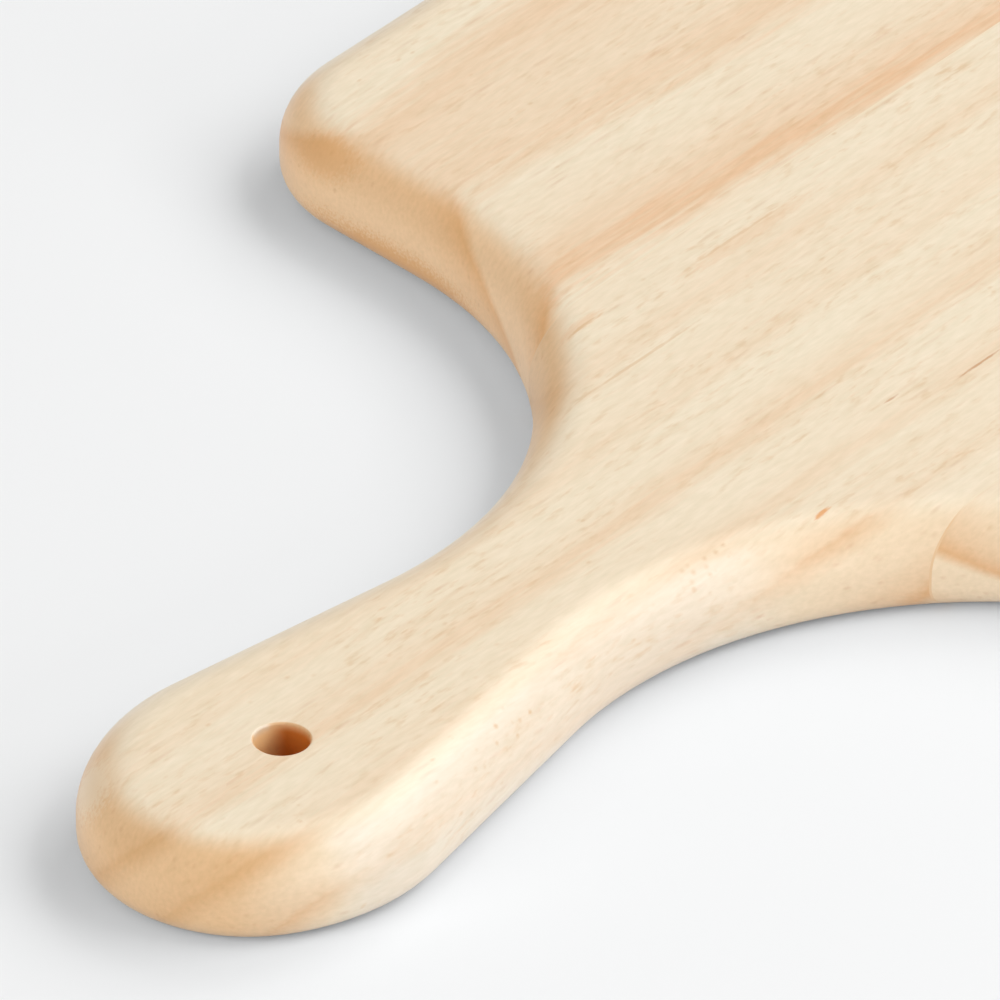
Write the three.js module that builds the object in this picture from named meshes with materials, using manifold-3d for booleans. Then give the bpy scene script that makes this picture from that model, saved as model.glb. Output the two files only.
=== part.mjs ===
// A paddle-shaped serving board: three pine staves glued edge to edge, then sawn to one
// outline, with the handle left on the middle stave. Millimetres, +Z up. The handle points
// to -X, and the origin is under the middle of the board, on the surface that it lies on.
import * as THREE from 'three';
import { mergeVertices } from 'three/addons/utils/BufferGeometryUtils.js';
import Module from 'manifold-3d';

// The glued blank, with left and right as seen from the handle
const LENGTH = 480;
const THICKNESS = 18;
const LEFT_STAVE_WIDTH = 87.4;
const HANDLE_STAVE_WIDTH = 89.1;
const RIGHT_STAVE_WIDTH = 91;
const GLUE_FILM = 0.2;
const GLUE_CLEARANCE = 0.05;

// The handle, whose end is rounder at the tip than at its flanks
const HANDLE_TIP_RADIUS = 28.5;
const HANDLE_TIP_SPREAD_DEGREES = 54.6;
const HANDLE_FLANK_RADIUS = 39.2;
const WAIST_FROM_TIP = 99.9;
const WAIST_WIDTH = 42.4;
const NECK_RADIUS = 78.4;

// The shoulders, which slope away from the handle, and the far end
const SHOULDER_SLOPE_DEGREES = 7.4;
const SHOULDER_CORNER_RADIUS = 25.5;
const FAR_CORNER_RADIUS = 25.5;

// The rounded edges and the least flat side that stays between them
const TOP_EDGE_ROUND = 9.9;
const BOTTOM_EDGE_ROUND = 5.5;
const LEAST_FLAT_SIDE = 1;

// The hole that the board hangs by
const HOLE_DIAMETER = 9.4;
const HOLE_FROM_TIP = 36.8;
const HOLE_RIM_ROUND = 0.5;

// How finely round shapes are divided
const DEGREES_PER_OUTLINE_STEP = 6;
const TOP_EDGE_STEPS = 6;
const BOTTOM_EDGE_STEPS = 4;
const HOLE_STEPS = 40;
const RIM_STEPS = 3;

// How far a cutting shape reaches past what it cuts, and what counts as one point
const CUT_REACH = 5;
const SAME_POINT = 1e-4;

const PINE_ROUGHNESS = 0.5;
const GLUE_ROUGHNESS = 0.4;
const LEFT_STAVE_COLOUR = 0xecd0ae;
const HANDLE_STAVE_COLOUR = 0xf0dfc2;
const RIGHT_STAVE_COLOUR = 0xeed8b8;
const GLUE_COLOUR = 0xc79a66;

const glueGap = GLUE_FILM + 2 * GLUE_CLEARANCE;
const width = LEFT_STAVE_WIDTH + HANDLE_STAVE_WIDTH + RIGHT_STAVE_WIDTH + 2 * glueGap;
const tipX = -LENGTH / 2;

const wasm = await Module();
wasm.setup();

// A round stretch of the outline. It bulges out of the board where bulge is 1 and into it
// where bulge is -1, and an inset outline shares its centre and its angles.
function roundStretch(centre, radius, from, to, bulge) {
  return { centre, radius, from, to, bulge };
}

// The round stretches in order, counter-clockwise from above. Where they don't meet, straight
// lines join them, and every line touches the stretches at its ends, so the outline has no kink.
function outlineStretches() {
  const spread = THREE.MathUtils.degToRad(HANDLE_TIP_SPREAD_DEGREES);
  const outOfTip = new THREE.Vector2(-Math.cos(spread), Math.sin(spread));
  const handleTip = new THREE.Vector2(tipX + HANDLE_TIP_RADIUS, 0);
  const handleFlank = handleTip.clone().addScaledVector(outOfTip, HANDLE_TIP_RADIUS - HANDLE_FLANK_RADIUS);
  const neck = new THREE.Vector2(tipX + WAIST_FROM_TIP, WAIST_WIDTH / 2 + NECK_RADIUS);
  const reach = neck.clone().sub(handleFlank);
  const flankTurn = Math.acos((HANDLE_FLANK_RADIUS + NECK_RADIUS) / reach.length());
  const flank = reach.angle() + flankTurn;

  const slope = THREE.MathUtils.degToRad(SHOULDER_SLOPE_DEGREES);
  const outOfNeck = new THREE.Vector2(Math.cos(slope), -Math.sin(slope));
  const alongShoulder = new THREE.Vector2(Math.sin(slope), Math.cos(slope));
  const cornerY = width / 2 - SHOULDER_CORNER_RADIUS;
  const corner = neck.clone().addScaledVector(outOfNeck, NECK_RADIUS + SHOULDER_CORNER_RADIUS);
  corner.addScaledVector(alongShoulder, (cornerY - corner.y) / alongShoulder.y);

  const far = new THREE.Vector2(LENGTH / 2 - FAR_CORNER_RADIUS, width / 2 - FAR_CORNER_RADIUS);
  const mirrored = (point) => new THREE.Vector2(point.x, -point.y);
  const quarter = Math.PI / 2;
  return [
    roundStretch(mirrored(far), FAR_CORNER_RADIUS, -quarter, 0, 1),
    roundStretch(far, FAR_CORNER_RADIUS, 0, quarter, 1),
    roundStretch(corner, SHOULDER_CORNER_RADIUS, quarter, Math.PI - slope, 1),
    roundStretch(neck, NECK_RADIUS, -slope, flank - Math.PI, -1),
    roundStretch(handleFlank, HANDLE_FLANK_RADIUS, flank, Math.PI - spread, 1),
    roundStretch(handleTip, HANDLE_TIP_RADIUS, Math.PI - spread, Math.PI + spread, 1),
    roundStretch(mirrored(handleFlank), HANDLE_FLANK_RADIUS, Math.PI + spread, 2 * Math.PI - flank, 1),
    roundStretch(mirrored(neck), NECK_RADIUS, Math.PI - flank, slope, -1),
    roundStretch(mirrored(corner), SHOULDER_CORNER_RADIUS, slope - Math.PI, -quarter, 1),
  ];
}

function outlinePoints(stretches, inset) {
  const points = [];
  for (const { centre, radius, from, to, bulge } of stretches) {
    const halfTurn = THREE.MathUtils.radToDeg(Math.abs(to - from)) / 2;
    const steps = 2 * Math.ceil(halfTurn / DEGREES_PER_OUTLINE_STEP);
    const insetRadius = radius - bulge * inset;
    for (let step = 0; step <= steps; step += 1) {
      const angle = from + ((to - from) * step) / steps;
      const x = centre.x + insetRadius * Math.cos(angle);
      const y = centre.y + insetRadius * Math.sin(angle);
      const point = new THREE.Vector2(x, y);
      if (points.length === 0 || points.at(-1).distanceTo(point) > SAME_POINT) {
        points.push(point);
      }
    }
  }
  return points;
}

// Heights and insets of the outline from the underside up to the top face
function edgeLevels() {
  const bottomRound = Math.min(BOTTOM_EDGE_ROUND, (THICKNESS - LEAST_FLAT_SIDE) / 2);
  const topRound = Math.min(TOP_EDGE_ROUND, THICKNESS - LEAST_FLAT_SIDE - bottomRound);
  const levels = [];
  for (let step = 0; step <= BOTTOM_EDGE_STEPS; step += 1) {
    const turn = ((Math.PI / 2) * step) / BOTTOM_EDGE_STEPS;
    levels.push({ z: bottomRound * (1 - Math.cos(turn)), inset: bottomRound * (1 - Math.sin(turn)) });
  }
  for (let step = 0; step <= TOP_EDGE_STEPS; step += 1) {
    const turn = ((Math.PI / 2) * step) / TOP_EDGE_STEPS;
    const z = THICKNESS - topRound * (1 - Math.sin(turn));
    levels.push({ z, inset: topRound * (1 - Math.cos(turn)) });
  }
  return levels;
}

// The sawn and rounded board before it is parted into its staves
function boardGeometry() {
  const stretches = outlineStretches();
  const rings = edgeLevels().map(({ z, inset }) => ({ z, points: outlinePoints(stretches, inset) }));
  const count = rings[0].points.length;
  const positions = [];
  for (const { z, points } of rings) {
    points.forEach((point) => positions.push(point.x, point.y, z));
  }
  const corners = [];
  for (let ring = 0; ring + 1 < rings.length; ring += 1) {
    for (let side = 0; side < count; side += 1) {
      const here = ring * count + side;
      const next = ring * count + ((side + 1) % count);
      corners.push(here, next, next + count);
      corners.push(here, next + count, here + count);
    }
  }
  const topStart = (rings.length - 1) * count;
  for (const [a, b, c] of THREE.ShapeUtils.triangulateShape(rings.at(-1).points, [])) {
    corners.push(topStart + a, topStart + b, topStart + c);
  }
  for (const [a, b, c] of THREE.ShapeUtils.triangulateShape(rings[0].points, [])) {
    corners.push(a, c, b);
  }
  const geometry = new THREE.BufferGeometry();
  geometry.setAttribute('position', new THREE.Float32BufferAttribute(positions, 3));
  geometry.setIndex(corners);
  return geometry;
}

// The shape that bores the hanging hole and softens both of its rims
function holeGeometry() {
  const bore = HOLE_DIAMETER / 2;
  const rim = bore + HOLE_RIM_ROUND;
  const profile = [new THREE.Vector2(0, -CUT_REACH), new THREE.Vector2(rim, -CUT_REACH)];
  for (let step = 0; step <= RIM_STEPS; step += 1) {
    const turn = ((Math.PI / 2) * step) / RIM_STEPS;
    const across = rim - HOLE_RIM_ROUND * Math.sin(turn);
    profile.push(new THREE.Vector2(across, HOLE_RIM_ROUND * (1 - Math.cos(turn))));
  }
  for (let step = RIM_STEPS; step >= 0; step -= 1) {
    const turn = ((Math.PI / 2) * step) / RIM_STEPS;
    const across = rim - HOLE_RIM_ROUND * Math.sin(turn);
    profile.push(new THREE.Vector2(across, THICKNESS - HOLE_RIM_ROUND * (1 - Math.cos(turn))));
  }
  profile.push(new THREE.Vector2(rim, THICKNESS + CUT_REACH), new THREE.Vector2(0, THICKNESS + CUT_REACH));
  const geometry = new THREE.LatheGeometry(profile, HOLE_STEPS);
  geometry.rotateX(Math.PI / 2);
  geometry.translate(tipX + HOLE_FROM_TIP, 0, 0);
  return geometry;
}

// A lengthwise slice of space from one side to the other
function sliceGeometry(fromY, toY) {
  const geometry = new THREE.BoxGeometry(LENGTH + 2 * CUT_REACH, toY - fromY, THICKNESS + 2 * CUT_REACH);
  geometry.translate(0, (fromY + toY) / 2, THICKNESS / 2);
  return geometry;
}

function toSolid(geometry) {
  const bare = geometry.clone();
  bare.deleteAttribute('normal');
  bare.deleteAttribute('uv');
  const merged = mergeVertices(bare, SAME_POINT);
  const corners = merged.getIndex().array;
  const triVerts = [];
  for (let at = 0; at < corners.length; at += 3) {
    const [a, b, c] = corners.slice(at, at + 3);
    if (a !== b && b !== c && c !== a) {
      triVerts.push(a, b, c);
    }
  }
  const vertProperties = merged.getAttribute('position').array;
  const mesh = new wasm.Mesh({ numProp: 3, vertProperties, triVerts: Uint32Array.from(triVerts) });
  return new wasm.Manifold(mesh);
}

function toGeometry(solid) {
  const { vertProperties, triVerts } = solid.getMesh();
  const geometry = new THREE.BufferGeometry();
  geometry.setAttribute('position', new THREE.BufferAttribute(vertProperties, 3));
  geometry.setIndex(new THREE.BufferAttribute(triVerts, 1));
  geometry.computeVertexNormals();
  return geometry;
}

// The staves and the glue between them, from the right side of the board to the left
const LAYERS = [
  { name: 'right_stave', across: RIGHT_STAVE_WIDTH, color: RIGHT_STAVE_COLOUR, roughness: PINE_ROUGHNESS },
  { name: 'right_glue_line', across: GLUE_FILM, color: GLUE_COLOUR, roughness: GLUE_ROUGHNESS },
  { name: 'handle_stave', across: HANDLE_STAVE_WIDTH, color: HANDLE_STAVE_COLOUR, roughness: PINE_ROUGHNESS },
  { name: 'left_glue_line', across: GLUE_FILM, color: GLUE_COLOUR, roughness: GLUE_ROUGHNESS },
  { name: 'left_stave', across: LEFT_STAVE_WIDTH, color: LEFT_STAVE_COLOUR, roughness: PINE_ROUGHNESS },
];

function servingBoard() {
  const board = toSolid(boardGeometry()).subtract(toSolid(holeGeometry()));
  const group = new THREE.Group();
  group.name = 'serving_board';
  let edge = -width / 2;
  LAYERS.forEach(({ name, across, color, roughness }, index) => {
    const fromY = index === 0 ? edge - CUT_REACH : edge;
    const toY = index === LAYERS.length - 1 ? edge + across + CUT_REACH : edge + across;
    const solid = board.intersect(toSolid(sliceGeometry(fromY, toY)));
    const material = new THREE.MeshStandardMaterial({ color, roughness, metalness: 0 });
    const mesh = new THREE.Mesh(toGeometry(solid), material);
    mesh.name = name;
    group.add(mesh);
    edge += across + GLUE_CLEARANCE;
  });
  return group;
}

const servingBoardGroup = servingBoard();

export default servingBoardGroup;
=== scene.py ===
"""Looks of a paddle-shaped pine serving board, laid out as an add-on and run as a script.

The board is three pine staves glued edge to edge. The handle points to -X, the grain runs
along X, and left and right are as seen from the handle. Sizes are in metres, and the wood
patterns work in millimetres.
"""

import math

import bmesh
import bpy
from mathutils import Matrix, Vector


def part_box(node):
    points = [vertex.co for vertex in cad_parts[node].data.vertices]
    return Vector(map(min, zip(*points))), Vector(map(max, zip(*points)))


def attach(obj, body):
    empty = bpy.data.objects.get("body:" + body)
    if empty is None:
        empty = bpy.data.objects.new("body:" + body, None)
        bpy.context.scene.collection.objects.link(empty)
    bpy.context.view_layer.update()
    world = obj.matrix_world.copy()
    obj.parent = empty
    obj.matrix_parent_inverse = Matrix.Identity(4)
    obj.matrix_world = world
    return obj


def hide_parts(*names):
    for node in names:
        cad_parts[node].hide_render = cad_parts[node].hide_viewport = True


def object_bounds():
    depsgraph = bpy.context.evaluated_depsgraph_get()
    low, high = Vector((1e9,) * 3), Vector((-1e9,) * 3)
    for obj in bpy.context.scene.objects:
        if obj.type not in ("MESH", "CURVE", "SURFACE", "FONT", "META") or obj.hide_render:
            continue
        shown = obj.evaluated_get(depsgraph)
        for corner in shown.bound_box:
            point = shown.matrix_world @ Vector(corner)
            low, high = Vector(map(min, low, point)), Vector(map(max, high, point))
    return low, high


bl_info = {
    "name": "Pine Serving Board",
    "version": (1, 0, 0),
    "blender": (4, 5, 0),
    "location": "View3D > Sidebar > Board",
    "description": "Models a serving board of three glued pine staves and its studio stage",
    "category": "Object",
}

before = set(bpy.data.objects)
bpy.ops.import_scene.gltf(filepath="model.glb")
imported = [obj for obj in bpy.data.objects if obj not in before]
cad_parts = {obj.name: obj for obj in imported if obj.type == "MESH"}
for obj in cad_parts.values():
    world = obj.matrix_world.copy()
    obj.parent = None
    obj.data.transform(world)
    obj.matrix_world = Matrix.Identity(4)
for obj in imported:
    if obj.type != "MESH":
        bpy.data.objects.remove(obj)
CAD_LOW, CAD_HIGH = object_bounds()

MM_PER_METRE = 1000.0

# Fineness of the modelled curves and rounds.
OUTLINE_STEP = math.radians(3.0)
TOP_ROUND_SEGMENTS = 14
BOTTOM_ROUND_SEGMENTS = 8
RIM_SEGMENTS = 6
HOLE_SEGMENTS = 64

# A narrow flat margin keeps the shading of the flat faces even beside the rounds.
FACE_MARGIN = 0.0004
SHARP_ANGLE = math.radians(40.0)
SQUARE_EDGE = math.radians(60.0)
CUT_TOLERANCE = 1e-7
SAME_POINT = 1e-6

FLOOR_HALF_SIDE = 3.0
FLOOR_DROP = 0.0002
FLOOR_ROUGHNESS = 0.9
FLOOR_SHINE = 0.1
GLUE_ROUGHNESS = 0.4

# How each stave was sawn from its log. Depth counts millimetres outwards through the growth
# rings: across and up say how fast it grows sideways from the heart and upwards, along how it
# drifts with the length. Each ring is where its dark late wood ends, and how dark that is.
# A mark is a place, its half size, its colour and its strength, and pores are the places and
# half sizes of their clusters, all in millimetres. Sapwood says between which places across the
# board the paler outer wood begins. Handle is true where the stave has the handle and its hole.
LEFT_LOG = {
    "heart": 97.0,
    "heart_round": 12.0,
    "across": 0.427,
    "up": 0.904,
    "along": -0.023,
    "start": -6.0,
    "rings": ((10.8, 0.9), (25.7, 0.68), (38.2, 0.92), (49.0, 0.8)),
    "marks": (
        ((-57.4, 113.0, 14.8), (5.0, 10.0, 4.5), "end_late", 0.55),
        # Painted shade: dark end-grain colour on the lower round along the foot of the left shoulder.
        ((-62.3, 91.0, 2.4), (11.0, 36.0, 5.4), "end_late", 1.0),
    ),
    "pores": (),
    "sapwood": None,
    "handle": False,
}
HANDLE_LOG = {
    "heart": 60.5,
    "heart_round": 12.0,
    "across": 0.707,
    "up": -0.707,
    "along": 0.012,
    "start": -12.0,
    "rings": (
        (0.5, 0.35),
        (10.5, 0.45),
        (20.7, 0.4),
        (32.3, 0.6),
        (43.8, 0.5),
        (55.0, 0.42),
        (71.0, 1.0),
    ),
    "marks": (
        ((-94.1, -26.2, 17.8), (2.6, 0.6, 0.8), "resin", 0.9),
        ((-41.6, -18.2, 18.0), (6.5, 0.35, 0.6), "fleck", 0.75),
        ((-59.6, -13.5, 18.0), (2.2, 0.3, 0.6), "fleck", 0.6),
        ((-75.0, 41.5, 17.6), (8.0, 1.6, 1.6), "late_wood", 0.5),
        ((-75.0, 40.9, 17.8), (6.0, 0.5, 0.9), "streak", 0.65),
        ((-35.0, 37.4, 18.0), (22.0, 2.2, 1.6), "late_wood", 0.35),
        ((-35.0, 38.6, 18.0), (16.0, 0.4, 0.8), "streak", 0.4),
        ((-77.0, 26.8, 17.9), (19.0, 0.45, 0.8), "streak", 0.5),
        ((-229.5, 18.0, 14.0), (8.0, 8.0, 6.0), "sap_early", 0.8),
    ),
    "pores": (
        ((-177.5, -22.5, 14.0), (17.0, 4.6, 5.0)),
        ((-219.0, -16.5, 15.0), (9.0, 6.0, 4.0)),
        ((-118.0, -20.0, 15.5), (15.0, 3.4, 4.0)),
    ),
    "sapwood": (-14.0, -26.0),
    "handle": True,
}
RIGHT_LOG = {
    "heart": -139.5,
    "heart_round": 12.0,
    "across": 0.47,
    "up": -0.88,
    "along": 0.01,
    "start": -22.0,
    "rings": ((-10.0, 0.7), (1.4, 0.8), (12.4, 0.7), (23.4, 0.9), (34.4, 0.9), (46.0, 0.8)),
    "marks": (),
    "pores": (),
    "sapwood": None,
    "handle": False,
}

# How the rings show: how soft their ends are and how far they feather, in millimetres, how the
# late wood rises through a ring, and how strongly pale rings show.
FACE_RINGS = {"softness": 1.5, "feathering": 2.2, "rise": ((0.45, 0.14), (0.76, 0.54)), "contrast": 1.7}
END_RINGS = {"softness": 0.8, "feathering": 0.2, "rise": ((0.45, 0.1), (0.75, 0.5)), "contrast": 0.5}
TIP_RINGS = {"softness": 1.9, "feathering": 0.8, "rise": ((0.45, 0.1), (0.75, 0.5)), "contrast": 0.5}
RING_WAVINESS = 0.9

# Sizes of the wood's patterns in millimetres: along the grain, across it and upwards.
SLOW_WAVES = (90.0, 30.0, 30.0)
QUICK_WAVES = (20.0, 6.0, 6.0)
RING_STRANDS = (18.0, 1.1, 1.1)
TONE_CLOUDS = (70.0, 16.0, 16.0)
GRAIN_BENDS = (50.0, 25.0, 25.0)
STREAK_PATCHES = (40.0, 7.0, 7.0)
LONG_STREAKS = (20.0, 1.7, 1.7)
SHORT_STREAKS = (4.2, 1.1, 1.1)
FINE_FIBRES = (4.0, 0.8, 0.8)
FLECK_RAGS = (1.6, 0.3, 0.3)
MARK_RAGS = (2.2, 0.5, 0.5)
RAY_CLUSTERS = (22.0, 14.0, 14.0)

# How far the grain wanders sideways, in millimetres.
GRAIN_BEND_REACH = 1.4

# Between which values of their noise streaks and specks go from none to full.
STREAK_PATCH_NOISE = (-0.4, 0.3)
LONG_STREAK_NOISE = (-0.05, 0.6)
SHORT_STREAK_NOISE = (0.0, 0.55)
RAY_CLUSTER_NOISE = (-0.2, 0.3)

# Scattered flecks: how far apart their places lie in millimetres, the share of places that has
# one, how far it reaches as a share of its place, and a shift that keeps the kinds apart.
FAINT_FLECKS = {"Spacing": (14.0, 1.7, 1.7), "Share": 0.4, "Reach": 0.36, "Shift": (0.0, 0.0, 0.0)}
BOLD_FLECKS = {"Spacing": (26.0, 3.2, 3.2), "Share": 0.2, "Reach": 0.19, "Shift": (7.3, 2.1, 4.7)}
RAY_SPECKS = {"Spacing": (3.2, 6.0, 1.5), "Share": 0.35, "Reach": 0.3, "Shift": (3.1, 5.7, 1.9)}
ROUND_PORES = {"Spacing": (1.8, 1.7, 1.7), "Share": 0.6, "Reach": 0.46, "Shift": (2.7, 6.1, 3.3)}

# A fleck's strength is drawn between the least and the most. A mark fades out between two
# shares of its half size, and noise frays the rims of both.
FLECK_LEAST = 0.2
FLECK_MOST = 1.0
MARK_RIM = (0.35, 1.1)
FLECK_RAGGEDNESS = 0.07
MARK_RAGGEDNESS = 0.6

# How strongly the patterns show.
QUICK_WAVE_STRENGTH = 0.4
LONG_STREAK_STRENGTH = 0.6
STREAK_STRENGTH = 0.43
CLOUD_STRENGTH = 0.16
LEAST_LATE_WOOD = 0.08
FAINT_FLECK_STRENGTH = 0.28
BOLD_FLECK_STRENGTH = 0.42
RAY_STRENGTH = 0.5
PORE_STRENGTH = 0.9
FIBRE_TONE = 0.095
FIBRE_BLUE_TONE = 0.145
FIBRE_ROUGHNESS = 0.05
CUT_ROUGHNESS = 0.06
FIBRE_RELIEF = 0.5
FLECK_RELIEF = -0.3
RELIEF_STRENGTH = 0.12
RELIEF_HEIGHT = 0.0002

# Between which values of its normal a surface changes from one look to the next: how far it
# turns towards the grain and leans from level for a cut across the fibres, how far it turns to
# the right and away from up for the painted sheen on the handle's right side, and how far the
# hole's wall faces the lamps for the painted light on its lit side.
LEAST_LEAN = 0.05
CUT_TURN = (0.1, 0.6)
CUT_LEAN = (0.16, 0.68)
SIDE_TURN = (-0.88, -0.98)
SIDE_LEVEL = (0.96, 0.8)
LIT_SIDE = (0.63, -0.77, 0.0)
LIT_TURN = (-0.2, 0.7)

# Where the look of the hole's wall ends outside its radius and begins below the top face, in
# millimetres.
BORE_END = (0.1, 0.4)
BORE_BEGIN = (-0.3, 2.0)


def length_property(name, description, default):
    return bpy.props.FloatProperty(
        name=name, description=description, default=default, min=0.0, precision=4, unit="LENGTH"
    )


def angle_property(name, description, degrees):
    return bpy.props.FloatProperty(
        name=name, description=description, default=math.radians(degrees), subtype="ANGLE"
    )


def colour_property(name, description, default):
    return bpy.props.FloatVectorProperty(
        name=name, description=description, default=default, size=3, min=0.0, max=1.0, subtype="COLOR"
    )


def share_property(name, description, default, largest=1.0):
    return bpy.props.FloatProperty(
        name=name, description=description, default=default, min=0.0, max=largest
    )


def power_property(name, description, watts):
    return bpy.props.FloatProperty(name=name, description=description, default=watts, min=0.0, unit="POWER")


class BoardShape(bpy.types.PropertyGroup):
    """Sizes of the sawn and rounded board."""

    length: length_property("Length", "From the handle's tip to the far end", CAD_HIGH.x - CAD_LOW.x)
    width: length_property("Width", "Across the glued staves", CAD_HIGH.y - CAD_LOW.y)
    thickness: length_property("Thickness", "Of the planed staves", CAD_HIGH.z - CAD_LOW.z)
    handle_tip_radius: length_property("Handle tip radius", "Of the very end of the handle", 0.0285)
    handle_tip_spread: angle_property("Handle tip spread", "Half the turn of the tip's curve", 54.6)
    handle_flank_radius: length_property("Handle flank radius", "Beside the tip's curve", 0.0392)
    waist_from_tip: length_property("Waist from tip", "Where the handle is narrowest", 0.0999)
    waist_width: length_property("Waist width", "Of the handle where it is narrowest", 0.0424)
    neck_radius: length_property("Neck radius", "Of the hollow between handle and shoulder", 0.0784)
    shoulder_slope: angle_property("Shoulder slope", "How far the shoulders fall back", 7.4)
    shoulder_corner: length_property("Shoulder corner", "Radius of the shoulder corners", 0.0255)
    far_corner: length_property("Far corner", "Radius of the corners of the far end", 0.0255)
    top_round: length_property("Top edge round", "Radius of the upper edge", 0.0099)
    bottom_round: length_property("Bottom edge round", "Radius of the lower edge", 0.0055)
    hole_diameter: length_property("Hole diameter", "Of the hanging hole", 0.0094)
    hole_from_tip: length_property("Hole from tip", "Distance of the hole's centre", 0.0368)
    hole_rim: length_property("Hole rim round", "Radius of the hole's softened rims", 0.0005)


class PineLook(bpy.types.PropertyGroup):
    """Colours and finish of the oiled pine and of the glue."""

    early_wood: colour_property("Early wood", "Pale wood at the start of a growth ring", (0.87, 0.76, 0.57))
    late_wood: colour_property("Late wood", "Darker wood at the end of a growth ring", (0.80, 0.50, 0.28))
    end_early: colour_property("End early wood", "Pale wood cut across the fibres", (0.865, 0.585, 0.335))
    end_late: colour_property("End late wood", "Dark wood cut across the fibres", (0.75, 0.40, 0.155))
    sap_early: colour_property("Sap early wood", "Pale wood cut across, on the right", (0.85, 0.67, 0.46))
    sap_late: colour_property("Sap late wood", "Dark wood cut across, on the right", (0.72, 0.41, 0.19))
    heart_early: colour_property("Heart early wood", "Pale wood cut across at the tip", (0.79, 0.515, 0.275))
    heart_late: colour_property("Heart late wood", "Dark wood cut across at the tip", (0.67, 0.38, 0.16))
    # Painted sheen: the handle's right side, which faces the lamps, is painted paler and whiter.
    side_sheen: colour_property("Side wood", "Pale wood on the handle's right side", (0.825, 0.72, 0.575))
    streak: colour_property("Streak", "Warm streaks along the grain", (0.69, 0.45, 0.23))
    fleck: colour_property("Fleck", "Short resin canals along the grain", (0.55, 0.26, 0.10))
    resin: colour_property("Resin", "Small pocket of resin", (0.74, 0.33, 0.10))
    # The hole's wall: the dark bore colour is partly oiled end grain and partly painted shade on the side
    # away from the lamps, and the pale colour below it is painted light on the side that the lamps reach.
    bore: colour_property("Bore", "Unsanded wall of the hole, dark with oil", (0.52, 0.14, 0.015))
    bore_lit: colour_property("Worn bore", "The side of the hole that is rubbed pale", (1.0, 0.66, 0.32))
    glue: colour_property("Glue", "Cured glue in the joints, on the faces", (0.86, 0.72, 0.52))
    end_glue: colour_property("End glue", "Cured glue in the joints, on the ends", (0.78, 0.53, 0.31))
    thrown: colour_property("Thrown", "Plain grey of the light that it throws back", (0.78, 0.78, 0.78))
    roughness: share_property("Roughness", "Of the oiled and rubbed surface", 0.42)
    coat: share_property("Oil coat", "Share of the surface that the oil covers", 0.4)
    coat_roughness: share_property("Oil coat roughness", "Of the oil's thin film", 0.28)


class StageLook(bpy.types.PropertyGroup):
    """Floor, light and camera."""

    floor: colour_property("Floor", "Plain pale floor", (0.75, 0.75, 0.75))
    floor_seen: colour_property("Floor seen", "The floor as the camera sees it", (0.86, 0.865, 0.867))
    sky_strength: share_property("Sky strength", "Even light from all round", 0.41, 5.0)
    lamp_distance: length_property("Lamp distance", "From the board to the lamps", 2.0)
    key_power: power_property("Key power", "Of the lamp on the right, towards the far end", 16.5)
    key_size: length_property("Key size", "Side of the lamp on the right", 1.3)
    key_turn: angle_property("Key turn", "Where that lamp stands, from -Y", 36.0)
    key_rise: angle_property("Key rise", "Height of that lamp above the floor", 44.0)
    back_power: power_property("Back power", "Of the lamp beyond the far end", 14.0)
    back_size: length_property("Back size", "Side of the lamp beyond the far end", 1.2)
    back_turn: angle_property("Back turn", "Where that lamp stands, from -Y", 90.0)
    back_rise: angle_property("Back rise", "Height of that lamp above the floor", 40.0)
    side_power: power_property("Side power", "Of the low lamp on the right", 12.5)
    side_size: length_property("Side size", "Side of the low lamp on the right", 1.2)
    side_turn: angle_property("Side turn", "Where that lamp stands, from -Y", 0.0)
    side_rise: angle_property("Side rise", "Height of that lamp above the floor", 9.0)
    fill_power: power_property("Fill power", "Of the lamp beyond the handle", 16.0)
    fill_size: length_property("Fill size", "Side of the lamp beyond the handle", 1.3)
    fill_turn: angle_property("Fill turn", "Where that lamp stands, from -Y", -100.0)
    fill_rise: angle_property("Fill rise", "Height of that lamp above the floor", 24.0)
    camera_azimuth: angle_property("Camera azimuth", "Where the camera stands, from -Y", -50.674)
    camera_elevation: angle_property("Camera elevation", "How far the camera looks down", 33.165)
    camera_distance: length_property("Camera distance", "From the point it looks at", 3.3678)
    camera_lens: bpy.props.FloatProperty(
        name="Camera lens", description="Focal length", default=720.0, min=1.0, subtype="DISTANCE_CAMERA"
    )
    camera_aim: bpy.props.FloatVectorProperty(
        name="Camera aim",
        description="Point on the floor that the camera looks at",
        default=(-0.1040, 0.0351, 0.0),
        size=3,
        subtype="TRANSLATION",
        unit="LENGTH",
    )


# Shape


def flat_direction(angle):
    """Unit vector in the board's plane, with angle 0 along X."""
    return Vector((math.cos(angle), math.sin(angle), 0.0))


def mirrored(point):
    """The same point on the board's other side."""
    return Vector((point.x, -point.y, point.z))


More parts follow.
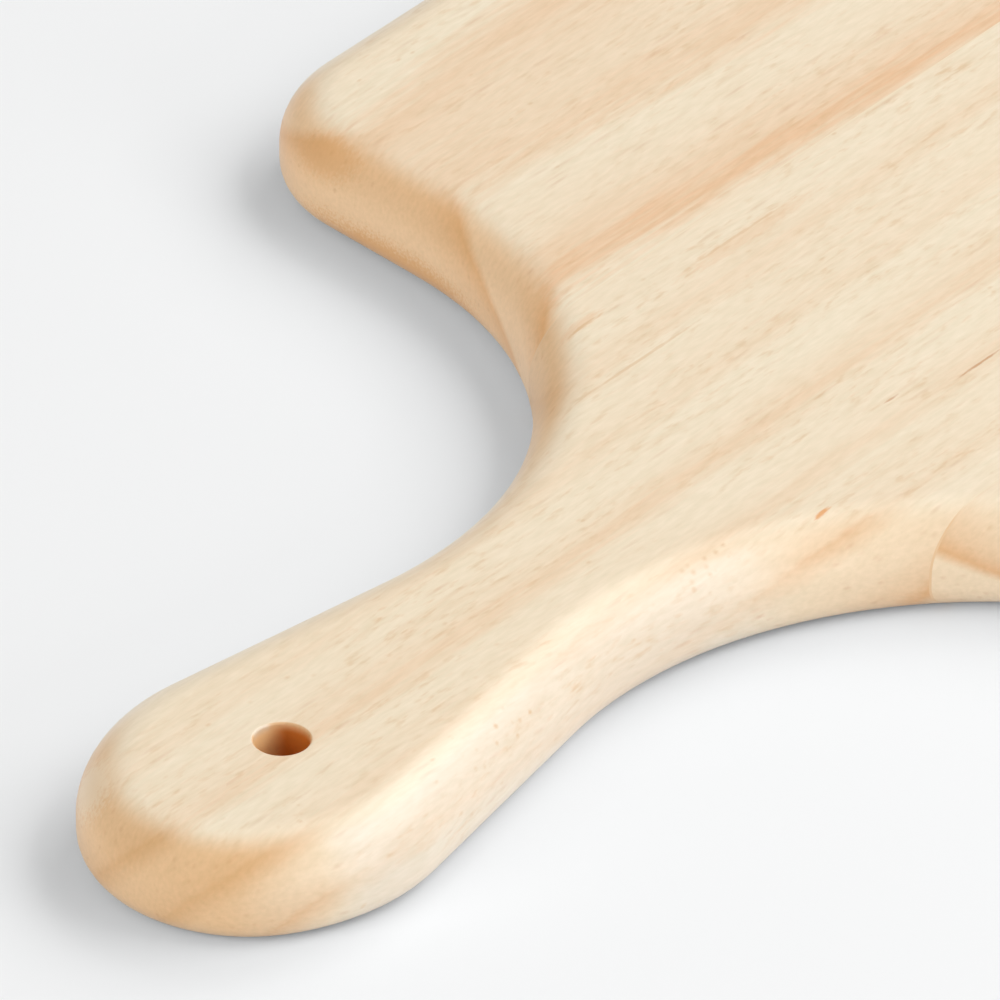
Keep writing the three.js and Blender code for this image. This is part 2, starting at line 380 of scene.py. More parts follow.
def outline_stretches(shape):
    """Round stretches of the outline in order: centre, radius, first angle and turn."""
    tip = -shape.length / 2
    spread = shape.handle_tip_spread
    handle_tip = Vector((tip + shape.handle_tip_radius, 0.0, 0.0))
    flank_shift = shape.handle_tip_radius - shape.handle_flank_radius
    handle_flank = handle_tip + flat_direction(math.pi - spread) * flank_shift
    neck = Vector((tip + shape.waist_from_tip, shape.waist_width / 2 + shape.neck_radius, 0.0))
    reach = neck - handle_flank
    flank = math.atan2(reach.y, reach.x)
    flank += math.acos((shape.handle_flank_radius + shape.neck_radius) / reach.length)

    slope = shape.shoulder_slope
    along_shoulder = flat_direction(math.pi / 2 - slope)
    corner = neck + flat_direction(-slope) * (shape.neck_radius + shape.shoulder_corner)
    corner_y = shape.width / 2 - shape.shoulder_corner
    corner += along_shoulder * ((corner_y - corner.y) / along_shoulder.y)
    far = Vector((shape.length / 2 - shape.far_corner, shape.width / 2 - shape.far_corner, 0.0))

    quarter = math.pi / 2
    shoulder_turn = quarter - slope
    neck_turn = flank - math.pi + slope
    flank_turn = math.pi - spread - flank
    return (
        (mirrored(far), shape.far_corner, -quarter, quarter),
        (far, shape.far_corner, 0.0, quarter),
        (corner, shape.shoulder_corner, quarter, shoulder_turn),
        (neck, shape.neck_radius, -slope, neck_turn),
        (handle_flank, shape.handle_flank_radius, flank, flank_turn),
        (handle_tip, shape.handle_tip_radius, math.pi - spread, 2 * spread),
        (mirrored(handle_flank), shape.handle_flank_radius, math.pi + spread, flank_turn),
        (mirrored(neck), shape.neck_radius, math.pi - flank, neck_turn),
        (mirrored(corner), shape.shoulder_corner, slope - math.pi, shoulder_turn),
    )


def draw_outline(bm, stretches):
    """Draws the outline by spinning a point round each stretch and joining the ends."""
    first = None
    last = None
    for centre, radius, start, turn in stretches:
        place = centre + flat_direction(start) * radius
        if last is not None and (place - last.co).length < SAME_POINT:
            point = last
        else:
            point = bmesh.ops.create_vert(bm, co=place)["vert"][0]
            if last is not None:
                bmesh.ops.contextual_create(bm, geom=[last, point])
        first = first or point
        steps = 2 * math.ceil(abs(turn) / OUTLINE_STEP / 2)
        spun = bmesh.ops.spin(
            bm, geom=[point], cent=centre, axis=(0.0, 0.0, 1.0), angle=turn, steps=steps, use_merge=False
        )
        last = spun["geom_last"][0]
    bmesh.ops.contextual_create(bm, geom=[last, first])


def rim_edges(bm, height, inside, centre, radius):
    """Square edges at a height, of the hole where inside is true and of the outline where not."""
    found = []
    for edge in bm.edges:
        level = all(abs(vert.co.z - height) < CUT_TOLERANCE for vert in edge.verts)
        if not level or edge.calc_face_angle(0.0) < SQUARE_EDGE:
            continue
        near = all((vert.co.xy - centre.xy).length < radius for vert in edge.verts)
        if near == inside:
            found.append(edge)
    return found


def round_edges(bm, edges, radius, segments):
    """Rounds edges over to a radius."""
    bmesh.ops.bevel(
        bm,
        geom=edges,
        offset=radius,
        offset_type="OFFSET",
        segments=segments,
        profile=0.5,
        affect="EDGES",
        material=-1,
        clamp_overlap=False,
    )


def whole_board(shape):
    """The sawn board with its bored hole and rounded edges, before it is parted."""
    bm = bmesh.new()
    draw_outline(bm, outline_stretches(shape))
    hole = Vector((shape.hole_from_tip - shape.length / 2, 0.0, 0.0))
    bore = shape.hole_diameter / 2
    bmesh.ops.create_circle(
        bm, cap_ends=False, segments=HOLE_SEGMENTS, radius=bore, matrix=Matrix.Translation(hole)
    )
    bmesh.ops.triangle_fill(
        bm, use_beauty=True, use_dissolve=True, edges=bm.edges[:], normal=(0.0, 0.0, 1.0)
    )
    lifted = bmesh.ops.extrude_face_region(bm, geom=bm.faces[:])
    upper = [part for part in lifted["geom"] if isinstance(part, bmesh.types.BMVert)]
    bmesh.ops.translate(bm, verts=upper, vec=(0.0, 0.0, shape.thickness))
    bmesh.ops.recalc_face_normals(bm, faces=bm.faces[:])

    near_hole = 2 * bore
    top = shape.thickness
    round_edges(bm, rim_edges(bm, top, False, hole, near_hole), shape.top_round, TOP_ROUND_SEGMENTS)
    round_edges(bm, rim_edges(bm, 0.0, False, hole, near_hole), shape.bottom_round, BOTTOM_ROUND_SEGMENTS)
    for height in (top, 0.0):
        round_edges(bm, rim_edges(bm, height, True, hole, near_hole), shape.hole_rim, RIM_SEGMENTS)

    flat = [face for face in bm.faces if abs(face.normal.z) > 1.0 - CUT_TOLERANCE]
    bmesh.ops.inset_region(bm, faces=flat, thickness=FACE_MARGIN, use_even_offset=True)
    return bm


def part_off(bm, low, high):
    """Keeps what lies between two lengthwise cuts and closes the sawn faces."""
    for place, outwards in ((low, -1.0), (high, 1.0)):
        everything = bm.verts[:] + bm.edges[:] + bm.faces[:]
        cut = bmesh.ops.bisect_plane(
            bm,
            geom=everything,
            dist=CUT_TOLERANCE,
            plane_co=(0.0, place, 0.0),
            plane_no=(0.0, outwards, 0.0),
            clear_outer=True,
        )
        sawn = [part for part in cut["geom_cut"] if isinstance(part, bmesh.types.BMEdge)]
        if sawn:
            bmesh.ops.edgeloop_fill(bm, edges=sawn)


def make_piece(name, node, low, high, material):
    """One stave or glue line between two cuts, standing for its node of the frame."""
    bm = whole_board(bpy.context.scene.board_shape)
    part_off(bm, low, high)
    bmesh.ops.recalc_face_normals(bm, faces=bm.faces[:])
    for face in bm.faces:
        face.smooth = True
    for edge in bm.edges:
        edge.smooth = edge.calc_face_angle(0.0) < SHARP_ANGLE
    mesh = bpy.data.meshes.new(name)
    bm.to_mesh(mesh)
    bm.free()
    mesh.materials.append(material)
    piece = bpy.data.objects.new(name, mesh)
    bpy.context.scene.collection.objects.link(piece)
    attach(piece, "root")
    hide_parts(node)
    return piece


# Node helpers


def feed(tree, socket, value):
    """Links a socket to another, or sets its value."""
    if isinstance(value, bpy.types.NodeSocket):
        tree.links.new(value, socket)
    elif socket.type == "RGBA" and len(value) == 3:
        socket.default_value = (*value, 1.0)
    else:
        socket.default_value = value


def add_node(tree, kind, inputs=None, **settings):
    """A new node with its settings, and with its inputs fed by name."""
    node = tree.nodes.new(kind)
    for name, value in settings.items():
        setattr(node, name, value)
    for name, value in (inputs or {}).items():
        feed(tree, node.inputs[name], value)
    return node


def maths(tree, operation, *values, clamp=False):
    """The result of one sum on values or sockets."""
    node = add_node(tree, "ShaderNodeMath", operation=operation, use_clamp=clamp)
    for socket, value in zip(node.inputs, values):
        feed(tree, socket, value)
    return node.outputs["Value"]


def divided(tree, vector, sizes):
    """A vector with each axis counted in its own size."""
    node = add_node(tree, "ShaderNodeVectorMath", operation="DIVIDE")
    feed(tree, node.inputs[0], vector)
    feed(tree, node.inputs[1], sizes)
    return node.outputs["Vector"]


def added(tree, first, second):
    """The sum of two vectors."""
    node = add_node(tree, "ShaderNodeVectorMath", operation="ADD")
    feed(tree, node.inputs[0], first)
    feed(tree, node.inputs[1], second)
    return node.outputs["Vector"]


def eased(tree, value, low, high):
    """0 below low, 1 above high and a smooth step between."""
    inputs = {"Value": value, "From Min": low, "From Max": high}
    node = add_node(tree, "ShaderNodeMapRange", inputs, interpolation_type="SMOOTHSTEP")
    return node.outputs["Result"]


def mixed(tree, share, first, second, blend_type="MIX"):
    """A colour that goes from the first to the second as the share goes from 0 to 1."""
    node = add_node(tree, "ShaderNodeMix", data_type="RGBA", blend_type=blend_type)
    feed(tree, node.inputs["Factor"], share)
    colours = [socket for socket in node.inputs if socket.type == "RGBA"]
    feed(tree, colours[0], first)
    feed(tree, colours[1], second)
    return next(socket for socket in node.outputs if socket.type == "RGBA")


def noise(tree, vector, sizes, detail=2.0):
    """Noise from -1 to 1 whose features have these sizes."""
    inputs = {"Vector": divided(tree, vector, sizes), "Scale": 1.0, "Detail": detail}
    texture = add_node(tree, "ShaderNodeTexNoise", inputs, noise_dimensions="3D")
    return maths(tree, "MULTIPLY_ADD", texture.outputs[0], 2.0, -1.0)


def new_group(name, inputs, outputs):
    """An empty node group with its sockets, and its input and output nodes."""
    group = bpy.data.node_groups.new(name, "ShaderNodeTree")
    for in_out, sockets in (("INPUT", inputs), ("OUTPUT", outputs)):
        for label, kind in sockets:
            group.interface.new_socket(name=label, in_out=in_out, socket_type=kind)
    return group, group.nodes.new("NodeGroupInput").outputs, group.nodes.new("NodeGroupOutput").inputs


def use_group(tree, group, inputs):
    """Places a node group, feeds its inputs by name and returns its outputs."""
    node = tree.nodes.new("ShaderNodeGroup")
    node.node_tree = group
    for name, value in inputs.items():
        feed(tree, node.inputs[name], value)
    return node.outputs


FLOAT = "NodeSocketFloat"
VECTOR = "NodeSocketVector"
COLOUR = "NodeSocketColor"


def ring_depth_group():
    """How far outwards through the growth rings a point of a stave lies, in millimetres."""
    group, given, result = new_group(
        "Ring depth",
        (
            ("Place", VECTOR),
            ("Heart", FLOAT),
            ("Heart Round", FLOAT),
            ("Across", FLOAT),
            ("Up", FLOAT),
            ("Along", FLOAT),
            ("Waviness", FLOAT),
            ("Feathering", FLOAT),
        ),
        (("Depth", FLOAT),),
    )
    place = given["Place"]
    axes = add_node(group, "ShaderNodeSeparateXYZ", {"Vector": place}).outputs
    sideways = maths(group, "SUBTRACT", axes["Y"], given["Heart"])
    squared = maths(group, "MULTIPLY", sideways, sideways)
    rounded = maths(group, "MULTIPLY", given["Heart Round"], given["Heart Round"])
    from_heart = maths(group, "SQRT", maths(group, "ADD", squared, rounded))
    depth = maths(group, "MULTIPLY", from_heart, given["Across"])
    depth = maths(group, "MULTIPLY_ADD", axes["Z"], given["Up"], depth)
    depth = maths(group, "MULTIPLY_ADD", axes["X"], given["Along"], depth)
    slow = noise(group, place, SLOW_WAVES, detail=1.0)
    quick = noise(group, place, QUICK_WAVES)
    wave = maths(group, "MULTIPLY_ADD", quick, QUICK_WAVE_STRENGTH, slow)
    depth = maths(group, "MULTIPLY_ADD", wave, given["Waviness"], depth)
    strands = noise(group, place, RING_STRANDS, detail=3.0)
    feed(group, result["Depth"], maths(group, "MULTIPLY_ADD", strands, given["Feathering"], depth))
    return group


def fibre_group():
    """Streaks, fine fibres and slow changes of tone along the grain."""
    group, given, result = new_group(
        "Pine fibres",
        (("Place", VECTOR),),
        (("Streaks", FLOAT), ("Fibres", FLOAT), ("Clouds", FLOAT)),
    )
    place = given["Place"]
    clouds = noise(group, place, TONE_CLOUDS)
    bend = maths(group, "MULTIPLY", noise(group, place, GRAIN_BENDS, detail=1.0), GRAIN_BEND_REACH)
    sideways = add_node(group, "ShaderNodeCombineXYZ", {"Y": bend, "Z": bend}).outputs["Vector"]
    wandering = added(group, place, sideways)
    patches = eased(group, noise(group, place, STREAK_PATCHES), *STREAK_PATCH_NOISE)
    long = eased(group, noise(group, wandering, LONG_STREAKS), *LONG_STREAK_NOISE)
    short = eased(group, noise(group, wandering, SHORT_STREAKS), *SHORT_STREAK_NOISE)
    streaks = maths(group, "MULTIPLY_ADD", long, LONG_STREAK_STRENGTH, short)
    feed(group, result["Streaks"], maths(group, "MULTIPLY", streaks, patches))
    feed(group, result["Fibres"], noise(group, wandering, FINE_FIBRES))
    feed(group, result["Clouds"], clouds)
    return group


def fleck_group():
    """Short slim flecks scattered through the wood, from 0 to 1."""
    group, given, result = new_group(
        "Resin flecks",
        (("Place", VECTOR), ("Spacing", VECTOR), ("Share", FLOAT), ("Reach", FLOAT), ("Shift", VECTOR)),
        (("Fleck", FLOAT),),
    )
    counted = divided(group, given["Place"], given["Spacing"])
    spread = {"Vector": added(group, counted, given["Shift"]), "Scale": 1.0}
    cells = add_node(group, "ShaderNodeTexVoronoi", spread, voronoi_dimensions="3D").outputs
    chance = add_node(group, "ShaderNodeSeparateColor", {"Color": cells["Color"]}).outputs
    there = maths(group, "LESS_THAN", chance["Red"], given["Share"])
    ragged = noise(group, given["Place"], FLECK_RAGS)
    distance = maths(group, "MULTIPLY_ADD", ragged, FLECK_RAGGEDNESS, cells["Distance"])
    inside = maths(group, "SUBTRACT", 1.0, eased(group, distance, 0.0, given["Reach"]))
    strength = maths(group, "MULTIPLY_ADD", chance["Green"], FLECK_MOST - FLECK_LEAST, FLECK_LEAST)
    shown = maths(group, "MULTIPLY", inside, there)
    feed(group, result["Fleck"], maths(group, "MULTIPLY", shown, strength))
    return group


def mark_group():
    """One mark of a given size at a given place, from 0 to 1 and ragged at its rim."""
    group, given, result = new_group(
        "Wood mark", (("Place", VECTOR), ("Centre", VECTOR), ("Half Size", VECTOR)), (("Mark", FLOAT),)
    )
    offset = add_node(group, "ShaderNodeVectorMath", operation="SUBTRACT")
    feed(group, offset.inputs[0], given["Place"])
    feed(group, offset.inputs[1], given["Centre"])
    counted = divided(group, offset.outputs["Vector"], given["Half Size"])
    length = add_node(group, "ShaderNodeVectorMath", {"Vector": counted}, operation="LENGTH")
    ragged = noise(group, given["Place"], MARK_RAGS, detail=3.0)
    distance = maths(group, "MULTIPLY_ADD", ragged, MARK_RAGGEDNESS, length.outputs["Value"])
    feed(group, result["Mark"], maths(group, "SUBTRACT", 1.0, eased(group, distance, *MARK_RIM)))
    return group


def finish_group():
    """Colour, roughness and relief of oiled pine from its growth, fibres and flecks."""
    group, given, result = new_group(
        "Oiled pine",
        (
            ("Early", COLOUR),
            ("Late", COLOUR),
            ("End Early", COLOUR),
            ("End Late", COLOUR),
            ("Streak Colour", COLOUR),
            ("Fleck Colour", COLOUR),
            ("Latewood", FLOAT),
            ("End Latewood", FLOAT),
            ("Streaks", FLOAT),
            ("Fibres", FLOAT),
            ("Clouds", FLOAT),
            ("Flecks", FLOAT),
            ("Rays", FLOAT),
            ("Cut", FLOAT),
            ("Roughness", FLOAT),
        ),
        (("Colour", COLOUR), ("Roughness", FLOAT), ("Relief", FLOAT)),
    )
    grown = maths(group, "MULTIPLY_ADD", given["Clouds"], CLOUD_STRENGTH, LEAST_LATE_WOOD)
    grown = maths(group, "ADD", grown, given["Latewood"], clamp=True)
    along = mixed(group, grown, given["Early"], given["Late"])
    streaked = maths(group, "MULTIPLY", given["Streaks"], STREAK_STRENGTH, clamp=True)
    along = mixed(group, streaked, along, given["Streak Colour"])
    across = mixed(group, given["End Latewood"], given["End Early"], given["End Late"])
    wood = mixed(group, given["Cut"], along, across)
    rayed = maths(group, "MULTIPLY", given["Rays"], RAY_STRENGTH)
    wood = mixed(group, rayed, wood, given["Streak Colour"])
    tone = maths(group, "MULTIPLY_ADD", given["Fibres"], FIBRE_TONE, 1.0)
    blue_tone = maths(group, "MULTIPLY_ADD", given["Fibres"], FIBRE_BLUE_TONE, 1.0)
    tinted = {"Red": tone, "Green": tone, "Blue": blue_tone}
    grain = add_node(group, "ShaderNodeCombineColor", tinted).outputs["Color"]
    wood = mixed(group, 1.0, wood, grain, "MULTIPLY")
    feed(group, result["Colour"], mixed(group, given["Flecks"], wood, given["Fleck Colour"]))
    rough = maths(group, "MULTIPLY_ADD", given["Fibres"], FIBRE_ROUGHNESS, given["Roughness"])
    feed(group, result["Roughness"], maths(group, "MULTIPLY_ADD", given["Cut"], CUT_ROUGHNESS, rough))
    relief = maths(group, "MULTIPLY", given["Fibres"], FIBRE_RELIEF)
    feed(group, result["Relief"], maths(group, "MULTIPLY_ADD", given["Flecks"], FLECK_RELIEF, relief))
    return group


def effect(name, build):
    """A shared node group, built the first time that it is asked for."""
    return bpy.data.node_groups.get(name) or build()


def ring_stops(log, rings):
    """Depths and shares of late wood: it rises through each ring and falls off at its end."""
    softness = rings["softness"]
    stops = []
    inner = log["start"]
    for outer, darkness in log["rings"]:
        shown = darkness ** rings["contrast"]
        stops.append((inner + softness, 0.0))
        for part, share in rings["rise"]:
            stops.append((inner + part * (outer - inner), share * shown))
        stops.append((outer - softness, shown))
        inner = outer
    stops.append((inner + softness, 0.0))
    return stops


def late_wood(tree, place, log, rings):
    """Share of late wood in one log, on its faces or its cut ends."""
    depth = use_group(
        tree,
        effect("Ring depth", ring_depth_group),
        {
            "Place": place,
            "Heart": log["heart"],
            "Heart Round": log["heart_round"],
            "Across": log["across"],
            "Up": log["up"],
            "Along": log["along"],
            "Waviness": RING_WAVINESS,
            "Feathering": rings["feathering"],
        },
    )["Depth"]
    stops = ring_stops(log, rings)
    low = stops[0][0]
    span = stops[-1][0] - low
    share = maths(tree, "DIVIDE", maths(tree, "SUBTRACT", depth, low), span)
    ramp_node = add_node(tree, "ShaderNodeValToRGB", {"Fac": share})
    elements = ramp_node.color_ramp.elements
    elements[0].position = 0.0
    elements[1].position = 1.0
    for depth_here, _ in stops[1:-1]:
        elements.new((depth_here - low) / span)
    for element, (_, value) in zip(elements, stops):
        element.color = (value, value, value, 1.0)
    return ramp_node.outputs["Color"]


def new_material(name):
    """An empty material with its shader."""
    material = bpy.data.materials.new(name)
    material.use_nodes = True
    material.node_tree.nodes.clear()
    tree = material.node_tree
    shader = tree.nodes.new("ShaderNodeBsdfPrincipled")
    output = tree.nodes.new("ShaderNodeOutputMaterial")
    tree.links.new(shader.outputs["BSDF"], output.inputs["Surface"])
    return material, tree, shader


def place_in_mm(tree, coords):
    """Where a point lies on the board, in millimetres."""
    scaled = {"Vector": coords["Object"], "Scale": MM_PER_METRE}
    return add_node(tree, "ShaderNodeVectorMath", scaled, operation="SCALE").outputs["Vector"]


def facing_way(tree, coords):
    """The surface's normal, and how far it leans from level to upright."""
    facing = add_node(tree, "ShaderNodeSeparateXYZ", {"Vector": coords["Normal"]}).outputs
    squared = maths(tree, "MULTIPLY", facing["X"], facing["X"])
    lean = maths(tree, "SQRT", maths(tree, "MULTIPLY_ADD", facing["Y"], facing["Y"], squared))
    return facing, maths(tree, "MAXIMUM", lean, LEAST_LEAN)


def cut_share(tree, coords):
    """How far the surface cuts across the fibres, which run along X."""
    facing, lean = facing_way(tree, coords)
    turn = maths(tree, "DIVIDE", maths(tree, "ABSOLUTE", facing["X"]), lean)
    return maths(tree, "MULTIPLY", eased(tree, turn, *CUT_TURN), eased(tree, lean, *CUT_LEAN))


def all_flecks(tree, place):
    """Many faint flecks and a few bold ones."""
    group = effect("Resin flecks", fleck_group)
    faint = use_group(tree, group, {"Place": place, **FAINT_FLECKS})["Fleck"]
    bold = use_group(tree, group, {"Place": place, **BOLD_FLECKS})["Fleck"]
    faint = maths(tree, "MULTIPLY", faint, FAINT_FLECK_STRENGTH)
    bold = maths(tree, "MULTIPLY", bold, BOLD_FLECK_STRENGTH)
    return maths(tree, "MAXIMUM", faint, bold)


def ray_flecks(tree, place, log):
    """Soft specks where the rays, which run outwards from the heart, reach the surface."""
    dip = math.atan2(log["up"], log["across"])
    turn = {"Vector": place, "Angle": -dip}
    turned = add_node(tree, "ShaderNodeVectorRotate", turn, rotation_type="X_AXIS").outputs["Vector"]
    specks = use_group(tree, effect("Resin flecks", fleck_group), {"Place": turned, **RAY_SPECKS})["Fleck"]
    clusters = eased(tree, noise(tree, place, RAY_CLUSTERS, detail=1.0), *RAY_CLUSTER_NOISE)
    return maths(tree, "MULTIPLY", specks, clusters)


def mark_share(tree, place, centre, half_size):
    """1 in the middle of one mark, fading towards its ragged rim."""
    mark = {"Place": place, "Centre": centre, "Half Size": half_size}
    return use_group(tree, effect("Wood mark", mark_group), mark)["Mark"]


def pore_share(tree, place, spots):
    """Small round pores where a rounded edge slants through the resin canals, in a few clusters."""
    pores = use_group(tree, effect("Resin flecks", fleck_group), {"Place": place, **ROUND_PORES})["Fleck"]
    shown = 0.0
    for centre, half_size in spots:
        shown = maths(tree, "MAXIMUM", shown, mark_share(tree, place, centre, half_size))
    return maths(tree, "MULTIPLY", maths(tree, "MULTIPLY", pores, shown), PORE_STRENGTH, clamp=True)


def side_sheen_share(tree, coords):
    """How far the surface faces the right side of the board, below its upper edge, where the sheen is
    painted.
    """
    facing, lean = facing_way(tree, coords)
    turn = maths(tree, "DIVIDE", facing["Y"], lean)
    level = eased(tree, facing["Z"], *SIDE_LEVEL)
    return maths(tree, "MULTIPLY", eased(tree, turn, *SIDE_TURN), level)


def lit_side_share(tree, coords):
    """1 on the side of the hole that faces the lamps, where light is painted on its wall."""
    facing = add_node(tree, "ShaderNodeVectorMath", operation="DOT_PRODUCT")
    feed(tree, facing.inputs[0], coords["Normal"])
    feed(tree, facing.inputs[1], LIT_SIDE)
    return eased(tree, facing.outputs["Value"], *LIT_TURN)


def bore_share(tree, place):
    """1 on the wall of the hanging hole, fading towards its upper rim."""
    shape = bpy.context.scene.board_shape
    bore = shape.hole_diameter * MM_PER_METRE / 2
    from_tip = shape.hole_from_tip - shape.length / 2
    axes = add_node(tree, "ShaderNodeSeparateXYZ", {"Vector": place}).outputs
    along = maths(tree, "SUBTRACT", axes["X"], from_tip * MM_PER_METRE)
    squared = maths(tree, "MULTIPLY", along, along)
    radius = maths(tree, "SQRT", maths(tree, "MULTIPLY_ADD", axes["Y"], axes["Y"], squared))
    beyond = maths(tree, "SUBTRACT", radius, bore)
    below = maths(tree, "SUBTRACT", shape.thickness * MM_PER_METRE, axes["Z"])
    inside = maths(tree, "SUBTRACT", 1.0, eased(tree, beyond, *BORE_END))
    return maths(tree, "MULTIPLY", inside, eased(tree, below, *BORE_BEGIN))


def pine_material(name, log, end_early, end_late):
    """Oiled pine sawn from one log, with its own colours where the fibres are cut across."""
    look = bpy.context.scene.pine_look
    material, tree, shader = new_material(name)
    coords = add_node(tree, "ShaderNodeTexCoord").outputs
    place = place_in_mm(tree, coords)
    early = look.early_wood
    if log["sapwood"]:
        across = add_node(tree, "ShaderNodeSeparateXYZ", {"Vector": place}).outputs["Y"]
        outer = eased(tree, across, *log["sapwood"])
        end_early = mixed(tree, outer, end_early, look.sap_early)
        end_late = mixed(tree, outer, end_late, look.sap_late)
    if log["handle"]:
        # Painted sheen: the handle's right side, which faces the lamps, is paler and whiter.
        side = side_sheen_share(tree, coords)
        early = mixed(tree, side, early, look.side_sheen)
        end_early = mixed(tree, side, end_early, look.side_sheen)
        end_late = mixed(tree, side, end_late, look.sap_early)
    end_rings = TIP_RINGS if log["handle"] else END_RINGS
    fibres = use_group(tree, effect("Pine fibres", fibre_group), {"Place": place})
    finish = use_group(
        tree,
        effect("Oiled pine", finish_group),
        {
            "Early": early,
            "Late": look.late_wood,
            "End Early": end_early,
            "End Late": end_late,
            "Streak Colour": look.streak,
            "Fleck Colour": look.fleck,
            "Latewood": late_wood(tree, place, log, FACE_RINGS),
            "End Latewood": late_wood(tree, place, log, end_rings),
            "Streaks": fibres["Streaks"],
            "Fibres": fibres["Fibres"],
            "Clouds": fibres["Clouds"],
            "Flecks": all_flecks(tree, place),
            "Rays": ray_flecks(tree, place, log),
            "Cut": cut_share(tree, coords),
            "Roughness": look.roughness,
        },
    )
    colour = finish["Colour"]
    for centre, half_size, mark_colour, strength in log["marks"]:
        share = maths(tree, "MULTIPLY", mark_share(tree, place, centre, half_size), strength)
        colour = mixed(tree, share, colour, getattr(look, mark_colour))
    if log["pores"]:
        colour = mixed(tree, pore_share(tree, place, log["pores"]), colour, look.streak)
    # The board throws plain light on the floor, so that its shadows stay grey.
    thrown = add_node(tree, "ShaderNodeLightPath").outputs["Is Diffuse Ray"]
    colour = mixed(tree, thrown, colour, look.thrown)
    if log["handle"]:
        # Painted light and shade: the hole's wall is pale on the side that faces the lamps and dark on the
        # other.
        bore = mixed(tree, lit_side_share(tree, coords), look.bore, look.bore_lit)
        colour = mixed(tree, bore_share(tree, place), colour, bore)
    feed(tree, shader.inputs["Base Color"], colour)
    feed(tree, shader.inputs["Coat Weight"], look.coat)
    feed(tree, shader.inputs["Coat Roughness"], look.coat_roughness)
    feed(tree, shader.inputs["Roughness"], finish["Roughness"])
    relief = {"Strength": RELIEF_STRENGTH, "Distance": RELIEF_HEIGHT, "Height": finish["Relief"]}
    feed(tree, shader.inputs["Normal"], add_node(tree, "ShaderNodeBump", relief).outputs["Normal"])
    return material


def glue_material():
    """Cured glue, sanded flush with the wood."""
    look = bpy.context.scene.pine_look
    material, tree, shader = new_material("cured_glue")
    coords = add_node(tree, "ShaderNodeTexCoord").outputs
    colour = mixed(tree, cut_share(tree, coords), look.glue, look.end_glue)
    feed(tree, shader.inputs["Base Color"], colour)
    feed(tree, shader.inputs["Roughness"], GLUE_ROUGHNESS)
    return material


# Pieces


class BOARD_OT_left_stave(bpy.types.Operator):
    """Model the left stave"""

    bl_idname = "board.left_stave"
    bl_label = "Left stave"

    def execute(self, context):
        low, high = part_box("left_stave")
        look = context.scene.pine_look
        material = pine_material("left_stave_pine", LEFT_LOG, look.end_early, look.end_late)
        outside = CAD_HIGH.y + high.z
        make_piece("left_stave_pine", "left_stave", low.y, outside, material)
        return {"FINISHED"}


class BOARD_OT_handle_stave(bpy.types.Operator):
    """Model the middle stave with the handle"""

    bl_idname = "board.handle_stave"
    bl_label = "Handle stave"

    def execute(self, context):
        low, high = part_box("handle_stave")
        look = context.scene.pine_look
        material = pine_material("handle_stave_pine", HANDLE_LOG, look.heart_early, look.heart_late)
        make_piece("handle_stave_pine", "handle_stave", low.y, high.y, material)
        return {"FINISHED"}


class BOARD_OT_right_stave(bpy.types.Operator):
    """Model the right stave"""

    bl_idname = "board.right_stave"
    bl_label = "Right stave"

    def execute(self, context):
        low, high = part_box("right_stave")
        look = context.scene.pine_look
        material = pine_material("right_stave_pine", RIGHT_LOG, look.sap_early, look.sap_late)
        outside = CAD_LOW.y - high.z
        make_piece("right_stave_pine", "right_stave", outside, high.y, material)
        return {"FINISHED"}


class BOARD_OT_glue_lines(bpy.types.Operator):
    """Model the glue between the staves"""

    bl_idname = "board.glue_lines"
    bl_label = "Glue lines"

    def execute(self, context):
        material = glue_material()
        right_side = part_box("right_stave")[1].y
        middle_low, middle_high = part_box("handle_stave")
        left_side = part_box("left_stave")[0].y
        make_piece("left_glue", "left_glue_line", middle_high.y, left_side, material)
        make_piece("right_glue", "right_glue_line", right_side, middle_low.y, material)
        return {"FINISHED"}


# Stage


def looking(azimuth, elevation):
    """Unit vector from the board to a place round it, with azimuth 0 in front at -Y."""
    level = math.cos(elevation)
    return Vector((math.sin(azimuth) * level, -math.cos(azimuth) * level, math.sin(elevation)))


def aim(thing, place, target):
    """Puts a lamp or the camera in the scene, at a place and turned to a target."""
    thing.location = place
    thing.rotation_euler = (place - target).to_track_quat("Z", "Y").to_euler()
    bpy.context.scene.collection.objects.link(thing)


def make_lamp(name, turn, rise, power, size, look):
    """A square lamp that stands at a place round the board and shines at it."""
    lamp = bpy.data.lights.new(name, "AREA")
    lamp.shape = "SQUARE"
    lamp.size = size
    lamp.energy = power
    target = Vector(look.camera_aim)
    stand = bpy.data.objects.new(name, lamp)
    aim(stand, target + looking(turn, rise) * look.lamp_distance, target)
    return stand


def make_floor(look):
    """A wide plain floor just below the board, which the camera sees paler than the board does."""
    bm = bmesh.new()
    sunk = Matrix.Translation((0.0, 0.0, -FLOOR_DROP))
    bmesh.ops.create_grid(bm, x_segments=1, y_segments=1, size=FLOOR_HALF_SIDE, matrix=sunk)
    mesh = bpy.data.meshes.new("floor")
    bm.to_mesh(mesh)
    bm.free()
    material, tree, shader = new_material("pale_floor")
    rays = add_node(tree, "ShaderNodeLightPath").outputs
    direct = maths(tree, "MAXIMUM", rays["Is Camera Ray"], rays["Is Glossy Ray"])
    direct = maths(tree, "MAXIMUM", direct, rays["Is Transmission Ray"])
    feed(tree, shader.inputs["Base Color"], mixed(tree, direct, look.floor, look.floor_seen))
    feed(tree, shader.inputs["Roughness"], FLOOR_ROUGHNESS)
    feed(tree, shader.inputs["Specular IOR Level"], FLOOR_SHINE)
    mesh.materials.append(material)
    floor = bpy.data.objects.new("floor", mesh)
    bpy.context.scene.collection.objects.link(floor)


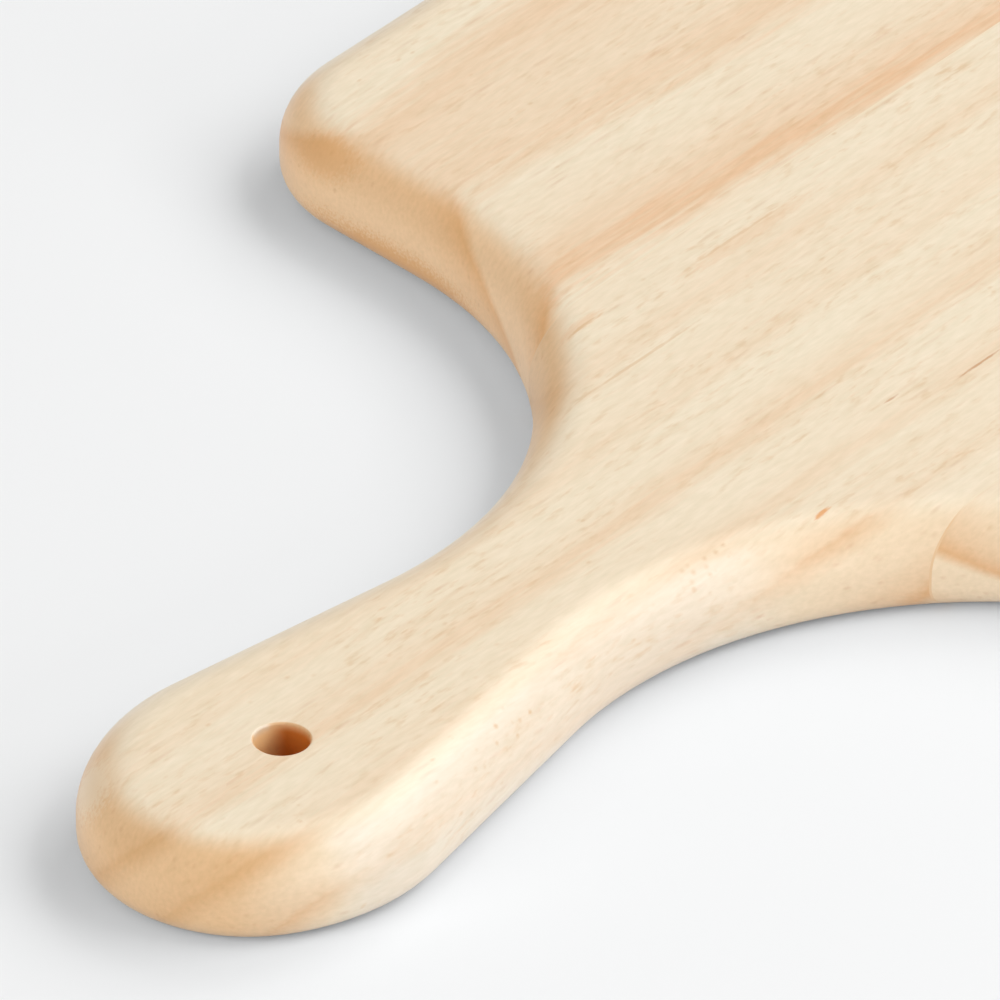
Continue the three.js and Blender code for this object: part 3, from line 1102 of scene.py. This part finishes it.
def make_sky(look):
    """Even white light from all round."""
    world = bpy.data.worlds.new("studio")
    world.use_nodes = True
    tree = world.node_tree
    tree.nodes.clear()
    even = add_node(tree, "ShaderNodeBackground", {"Color": (1.0, 1.0, 1.0), "Strength": look.sky_strength})
    output = tree.nodes.new("ShaderNodeOutputWorld")
    feed(tree, output.inputs["Surface"], even.outputs["Background"])
    bpy.context.scene.world = world


class BOARD_OT_stage(bpy.types.Operator):
    """Set up the floor, the light and the camera"""

    bl_idname = "board.stage"
    bl_label = "Stage"

    def execute(self, context):
        scene = context.scene
        look = scene.stage_look
        target = Vector(look.camera_aim)
        make_floor(look)
        make_sky(look)

        make_lamp("key", look.key_turn, look.key_rise, look.key_power, look.key_size, look)
        make_lamp("back", look.back_turn, look.back_rise, look.back_power, look.back_size, look)
        make_lamp("side", look.side_turn, look.side_rise, look.side_power, look.side_size, look)
        fill = make_lamp("fill", look.fill_turn, look.fill_rise, look.fill_power, look.fill_size, look)
        # This lamp stands low, and its glare would hide the grain as seen from the far end.
        fill.visible_glossy = False

        lens = bpy.data.cameras.new("camera")
        lens.lens = look.camera_lens
        camera = bpy.data.objects.new("camera", lens)
        place = target + looking(look.camera_azimuth, look.camera_elevation) * look.camera_distance
        aim(camera, place, target)
        scene.camera = camera
        scene.view_settings.view_transform = "Standard"
        return {"FINISHED"}


STEPS = ("board.stage", "board.left_stave", "board.handle_stave", "board.right_stave", "board.glue_lines")


class BOARD_PT_sidebar(bpy.types.Panel):
    """Buttons and sizes of the serving board"""

    bl_label = "Serving board"
    bl_idname = "BOARD_PT_sidebar"
    bl_space_type = "VIEW_3D"
    bl_region_type = "UI"
    bl_category = "Board"

    def draw(self, context):
        for step in STEPS:
            self.layout.operator(step)
        for settings in (context.scene.board_shape, context.scene.pine_look, context.scene.stage_look):
            box = self.layout.box()
            for name in settings.__annotations__:
                box.prop(settings, name)


CLASSES = (
    BoardShape,
    PineLook,
    StageLook,
    BOARD_OT_left_stave,
    BOARD_OT_handle_stave,
    BOARD_OT_right_stave,
    BOARD_OT_glue_lines,
    BOARD_OT_stage,
    BOARD_PT_sidebar,
)


def register():
    for made in CLASSES:
        bpy.utils.register_class(made)
    bpy.types.Scene.board_shape = bpy.props.PointerProperty(type=BoardShape)
    bpy.types.Scene.pine_look = bpy.props.PointerProperty(type=PineLook)
    bpy.types.Scene.stage_look = bpy.props.PointerProperty(type=StageLook)


def unregister():
    del bpy.types.Scene.board_shape
    del bpy.types.Scene.pine_look
    del bpy.types.Scene.stage_look
    for made in reversed(CLASSES):
        bpy.utils.unregister_class(made)


def main():
    """Models the board on its stage."""
    register()
    bpy.ops.board.stage()
    bpy.ops.board.left_stave()
    bpy.ops.board.handle_stave()
    bpy.ops.board.right_stave()
    bpy.ops.board.glue_lines()


if __name__ == "__main__":
    main()
